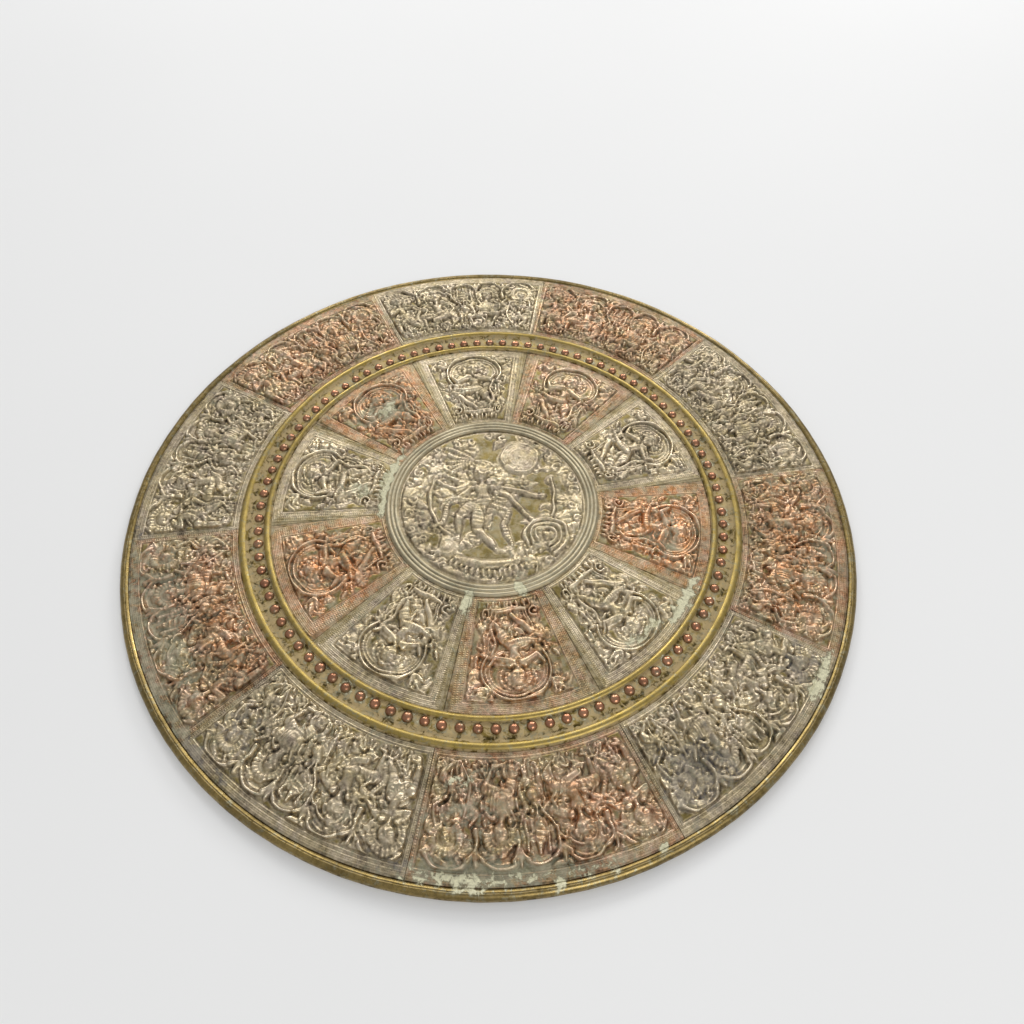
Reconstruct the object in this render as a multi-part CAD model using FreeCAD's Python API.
import FreeCAD, Part
import math
import os

# A round plate of mixed metals, the kind hung or set out in a hall. A spun brass
# plate with a wired rim carries two rings of struck relief panels, white metal and
# copper by turns, and a white metal medallion. A brass moulding studded with copper
# rivets holds down the edges between the two rings, and a ribbed ring holds the
# medallion. The hollow of every relief is packed with pitch.
# Frame: +Z up, origin under the centre, on the surface that the plate lies on.
# The plate lies on its rolled rim, which is dressed flat underneath.

V = FreeCAD.Vector
AXIS = V(0, 0, 1)

# ---- driving sizes, in millimetres ----
PLATE_DIA = 450.0         # over the rolled rim
SHEET_T = 1.4             # brass of the base plate
WIRE_DIA = 3.0            # wire rolled into the rim
WIRE_GAP = 0.1            # round the wire
DRESSED = 0.15            # taken off the bottom of the rim
SHEET_ABOVE_WIRE = 0.35   # underside of the base sheet over the wire's centre

STUD_CIRCLE_DIA = 289.2   # through the studs' centres
STUD_DIA = 5.8
STUD_RISE = 2.1
STUD_COUNT = 96
STUD_TURN = -90.7         # degrees, where the first stud stands
SHANK_DIA = 2.4
SHANK_GAP = 0.05          # round each shank
TAIL_DIA = 3.8
TAIL_T = 0.6

MOULDING_T = 0.8          # at the floor of the stud channel
FLOOR_INSIDE = 0.2        # floor left between a stud and the inner bead
FLOOR_OUTSIDE = 2.1       # and between a stud and the cove
COVE_WIDTH = 2.0
COVE_RISE = 0.7
INNER_BEAD_WIDTH = 4.6
OUTER_BEAD_WIDTH = 5.0
BEAD_RISE = 2.0           # crest over the panels' border

RELIEF_T = 0.5            # struck sheet
RELIEF_RISE = 2.6         # raised field over the border
RELIEF_SLOPE = 2.0        # run of the field's wall
LAP = 1.2                 # how far a moulding covers a panel's edge
EDGE_GAP = 0.3            # past a panel's edge, and inside the rim
JOINT_GAP = 0.2           # between two panels
FILLER_GAP = 0.05         # round the pitch

PANEL_COUNT = 10          # in each ring, an even number
PANEL_TURN = -80.6        # degrees, middle of the first copper panel
OUTER_RIM_BORDER = 6.2    # flat border inside the rim
OUTER_FOOT_BORDER = 3.4   # outside the studded moulding
OUTER_SIDE_BORDER = 3.0   # and down each side
INNER_RIM_BORDER = 6.2    # the same three on an inner panel
INNER_FOOT_BORDER = 2.6
INNER_SIDE_BORDER = 7.0

MEDALLION_DIA = 134.4     # over its ribbed ring
RIB_COUNT = 3
RIB_WIDTH = 2.4
RIB_RISE = 0.6
RING_EDGE = 0.65          # plain edge each side of the ribs
RING_T = 0.7              # under the ribs
MEDALLION_BORDER = 1.0    # flat border inside the ring

# ---- levels and radii that follow ----
BEAD_R = WIRE_DIA / 2 + WIRE_GAP + SHEET_T
WIRE_R = PLATE_DIA / 2 - BEAD_R
WIRE_Z = BEAD_R - DRESSED
SHEET_BOTTOM = WIRE_Z + SHEET_ABOVE_WIRE
SHEET_TOP = SHEET_BOTTOM + SHEET_T
BORDER_TOP = SHEET_TOP + RELIEF_T
FLOOR_TOP = SHEET_TOP + MOULDING_T
CREST_TOP = BORDER_TOP + BEAD_RISE

STUD_R = STUD_CIRCLE_DIA / 2
FLOOR_IN = STUD_R - STUD_DIA / 2 - FLOOR_INSIDE
FLOOR_OUT = STUD_R + STUD_DIA / 2 + FLOOR_OUTSIDE
COVE_OUT = FLOOR_OUT + COVE_WIDTH
MOULDING_IN = FLOOR_IN - INNER_BEAD_WIDTH
MOULDING_OUT = COVE_OUT + OUTER_BEAD_WIDTH
RING_OUT = MEDALLION_DIA / 2
RING_IN = RING_OUT - RIB_COUNT * RIB_WIDTH - 2 * RING_EDGE
HALF_TURN = math.radians(180.0 / PANEL_COUNT)


def rim_side(z):
    """Radius of the rolled rim's inner side at a height."""
    return WIRE_R - math.sqrt(BEAD_R**2 - (z - WIRE_Z) ** 2)


def line(a, b):
    return Part.LineSegment(a, b).toShape()


def arc(a, through, b):
    return Part.Arc(a, through, b).toShape()


def turned(edges):
    """The solid turned from a closed profile in the XZ plane."""
    return Part.Face(Part.Wire(edges)).revolve(V(0, 0, 0), AXIS, 360)


def turned_polygon(points):
    corners = [V(r, 0, z) for r, z in points]
    return turned([line(a, b) for a, b in zip(corners, corners[1:] + corners[:1])])


def around(shape, count, first):
    """Copies of a shape that stands on the X axis, spaced evenly about the plate."""
    copies = []
    for k in range(count):
        copy = shape.copy()
        copy.rotate(V(0, 0, 0), AXIS, first + 360.0 * k / count)
        copies.append(copy)
    return copies


# ---- base plate and rim ----
def shank_holes(bottom, top):
    bore = Part.makeCylinder(SHANK_DIA / 2 + SHANK_GAP, top - bottom, V(STUD_R, 0, bottom))
    return Part.makeCompound(around(bore, STUD_COUNT, STUD_TURN))


def base_plate():
    """Flat sheet whose edge is rolled over the wire, drilled for the studs."""
    under, over = rim_side(SHEET_BOTTOM), rim_side(SHEET_TOP)
    flat = math.sqrt(BEAD_R**2 - WIRE_Z**2)
    slant = math.radians(225)
    low_side = V(WIRE_R + BEAD_R * math.cos(slant), 0, WIRE_Z + BEAD_R * math.sin(slant))
    plate = turned([
        line(V(0, 0, SHEET_BOTTOM), V(under, 0, SHEET_BOTTOM)),
        arc(V(under, 0, SHEET_BOTTOM), low_side, V(WIRE_R - flat, 0, 0)),
        line(V(WIRE_R - flat, 0, 0), V(WIRE_R + flat, 0, 0)),
        arc(V(WIRE_R + flat, 0, 0), V(WIRE_R + BEAD_R, 0, WIRE_Z), V(over, 0, SHEET_TOP)),
        line(V(over, 0, SHEET_TOP), V(0, 0, SHEET_TOP)),
        line(V(0, 0, SHEET_TOP), V(0, 0, SHEET_BOTTOM)),
    ])
    tunnel = Part.makeTorus(WIRE_R, WIRE_DIA / 2 + WIRE_GAP, V(0, 0, WIRE_Z))
    return plate.cut(tunnel).cut(shank_holes(SHEET_BOTTOM, SHEET_TOP))


def rim_wire():
    return Part.makeTorus(WIRE_R, WIRE_DIA / 2, V(0, 0, WIRE_Z))


# ---- studded moulding ----
def studded_moulding():
    """Two beads with the stud channel between them, stepped over the panels' edges."""
    seat_in = MOULDING_IN + LAP + EDGE_GAP
    seat_out = MOULDING_OUT - LAP - EDGE_GAP
    cove_top = V(COVE_OUT, 0, FLOOR_TOP + COVE_RISE)
    cove_low = V(FLOOR_OUT + 0.6 * COVE_WIDTH, 0, FLOOR_TOP + 0.2 * COVE_RISE)
    inner_crest = V(MOULDING_IN + INNER_BEAD_WIDTH / 2, 0, CREST_TOP)
    outer_crest = V(COVE_OUT + OUTER_BEAD_WIDTH / 2, 0, CREST_TOP)
    feet = [V(MOULDING_OUT, 0, BORDER_TOP), V(seat_out, 0, BORDER_TOP), V(seat_out, 0, SHEET_TOP),
            V(seat_in, 0, SHEET_TOP), V(seat_in, 0, BORDER_TOP), V(MOULDING_IN, 0, BORDER_TOP)]
    ring = turned([
        arc(V(MOULDING_IN, 0, BORDER_TOP), inner_crest, V(FLOOR_IN, 0, FLOOR_TOP)),
        line(V(FLOOR_IN, 0, FLOOR_TOP), V(FLOOR_OUT, 0, FLOOR_TOP)),
        arc(V(FLOOR_OUT, 0, FLOOR_TOP), cove_low, cove_top),
        arc(cove_top, outer_crest, V(MOULDING_OUT, 0, BORDER_TOP)),
        *[line(a, b) for a, b in zip(feet, feet[1:])],
    ])
    return ring.cut(shank_holes(SHEET_TOP, FLOOR_TOP))


def copper_studs():
    """Domed rivets through the moulding and the base, headed over behind."""
    head, shank, tail = STUD_DIA / 2, SHANK_DIA / 2, TAIL_DIA / 2
    ball = (head**2 + STUD_RISE**2) / (2 * STUD_RISE)
    lean = math.asin(head / ball) / 2
    shoulder = V(ball * math.sin(lean), 0, FLOOR_TOP + STUD_RISE - ball * (1 - math.cos(lean)))
    tail_low = SHEET_BOTTOM - TAIL_T
    corners = [(head, FLOOR_TOP), (shank, FLOOR_TOP), (shank, SHEET_BOTTOM), (tail, SHEET_BOTTOM),
               (tail, tail_low), (0, tail_low), (0, FLOOR_TOP + STUD_RISE)]
    corners = [V(r, 0, z) for r, z in corners]
    rivet = turned([arc(corners[-1], shoulder, corners[0])]
                   + [line(a, b) for a, b in zip(corners, corners[1:])])
    rivet.translate(V(STUD_R, 0, 0))
    return Part.makeCompound(around(rivet, STUD_COUNT, STUD_TURN))


# ---- relief panels and their pitch ----
def panel_outline(r_in, r_out, side, z):
    """Two arcs and two straight sides, each set in from the joint line by side."""
    def corner(r, hand):
        turn = hand * (HALF_TURN - math.asin(side / r))
        return V(r * math.cos(turn), r * math.sin(turn), z)

    return Part.Wire([
        arc(corner(r_in, -1), V(r_in, 0, z), corner(r_in, 1)),
        line(corner(r_in, 1), corner(r_out, 1)),
        arc(corner(r_out, 1), V(r_out, 0, z), corner(r_out, -1)),
        line(corner(r_out, -1), corner(r_in, -1)),
    ])


def raised_field(r_in, r_out, side, shrink, bottom, top):
    """The field's block, with sloping walls, smaller all round by shrink."""
    slope = RELIEF_SLOPE
    foot = panel_outline(r_in + shrink, r_out - shrink, side + shrink, bottom)
    head = panel_outline(r_in + shrink + slope, r_out - shrink - slope, side + shrink + slope, top)
    return Part.makeLoft([foot, head], True, True)


def panel(r_in, r_out, foot_border, rim_border, side_border):
    """One struck sheet: a flat border and a raised, hollow field."""
    border = Part.Face(panel_outline(r_in, r_out, JOINT_GAP / 2, SHEET_TOP))
    sheet = border.extrude(V(0, 0, RELIEF_T))
    field = (r_in + foot_border, r_out - rim_border, side_border)
    top = BORDER_TOP + RELIEF_RISE
    hump = raised_field(*field, 0.0, SHEET_TOP, top)
    return sheet.fuse(hump).cut(raised_field(*field, RELIEF_T, SHEET_TOP, top - RELIEF_T))


def panel_filler(r_in, r_out, foot_border, rim_border, side_border):
    shrink = RELIEF_T + FILLER_GAP
    return raised_field(r_in + foot_border, r_out - rim_border, side_border,
                        shrink, SHEET_TOP, BORDER_TOP + RELIEF_RISE - shrink)


OUTER_PANEL = (MOULDING_OUT - LAP, rim_side(SHEET_TOP) - EDGE_GAP,
               OUTER_FOOT_BORDER + LAP, OUTER_RIM_BORDER, OUTER_SIDE_BORDER)
INNER_PANEL = (RING_OUT - LAP, MOULDING_IN + LAP,
               INNER_FOOT_BORDER + LAP, INNER_RIM_BORDER + LAP, INNER_SIDE_BORDER)


# ---- medallion ----
def medallion_profile(radius, shrink, border):
    """Corners of the medallion's raised field, smaller all round by shrink."""
    foot = radius - border - shrink
    top = BORDER_TOP + RELIEF_RISE - shrink
    return [(foot, SHEET_TOP), (foot - RELIEF_SLOPE, top), (0, top), (0, SHEET_TOP)]


MEDALLION_EDGE = RING_IN + LAP


def medallion_relief():
    flange = Part.makeCylinder(MEDALLION_EDGE, RELIEF_T, V(0, 0, SHEET_TOP))
    hump = turned_polygon(medallion_profile(RING_IN, 0.0, MEDALLION_BORDER))
    hollow = turned_polygon(medallion_profile(RING_IN, RELIEF_T, MEDALLION_BORDER))
    return flange.fuse(hump).cut(hollow)


def medallion_filler():
    return turned_polygon(medallion_profile(RING_IN, RELIEF_T + FILLER_GAP, MEDALLION_BORDER))


def medallion_ring():
    """Ribbed ring that holds the medallion and the inner panels' feet."""
    body = BORDER_TOP + RING_T
    start = RING_IN + RING_EDGE
    edges = []
    for k in range(RIB_COUNT):
        left = start + k * RIB_WIDTH
        right = left + RIB_WIDTH
        crest = V((left + right) / 2, 0, body + RIB_RISE)
        edges.append(arc(V(left, 0, body), crest, V(right, 0, body)))
    seat_in, seat_out = MEDALLION_EDGE + EDGE_GAP, RING_OUT - LAP - EDGE_GAP
    corners = [(start + RIB_COUNT * RIB_WIDTH, body), (RING_OUT, body), (RING_OUT, BORDER_TOP),
               (seat_out, BORDER_TOP), (seat_out, SHEET_TOP), (seat_in, SHEET_TOP),
               (seat_in, BORDER_TOP), (RING_IN, BORDER_TOP), (RING_IN, body), (start, body)]
    corners = [V(r, 0, z) for r, z in corners]
    return turned(edges + [line(a, b) for a, b in zip(corners, corners[1:])])


# ---- output ----
def pieces():
    """Every sub-part by name."""
    named = {
        "base_plate": base_plate(),
        "rim_wire": rim_wire(),
        "studded_moulding": studded_moulding(),
        "copper_studs": copper_studs(),
        "medallion_relief": medallion_relief(),
        "medallion_ring": medallion_ring(),
        "medallion_filler": medallion_filler(),
    }
    for ring, sizes in (("outer", OUTER_PANEL), ("inner", INNER_PANEL)):
        sheets = around(panel(*sizes), PANEL_COUNT, PANEL_TURN)
        beds = around(panel_filler(*sizes), PANEL_COUNT, PANEL_TURN)
        for k, (sheet, bed) in enumerate(zip(sheets, beds)):
            metal = "white" if k % 2 else "copper"
            named[f"{ring}_{metal}_panel_{k // 2 + 1}"] = sheet
            named[f"{ring}_filler_{k + 1}"] = bed
    return named


def main():
    os.makedirs("parts", exist_ok=True)
    for name, shape in pieces().items():
        shape.exportStep(f"parts/{name}.step")
        print(f"{name}: {len(shape.Solids)} solid(s), {shape.Volume:.1f} mm3, valid {shape.isValid()}")


main()
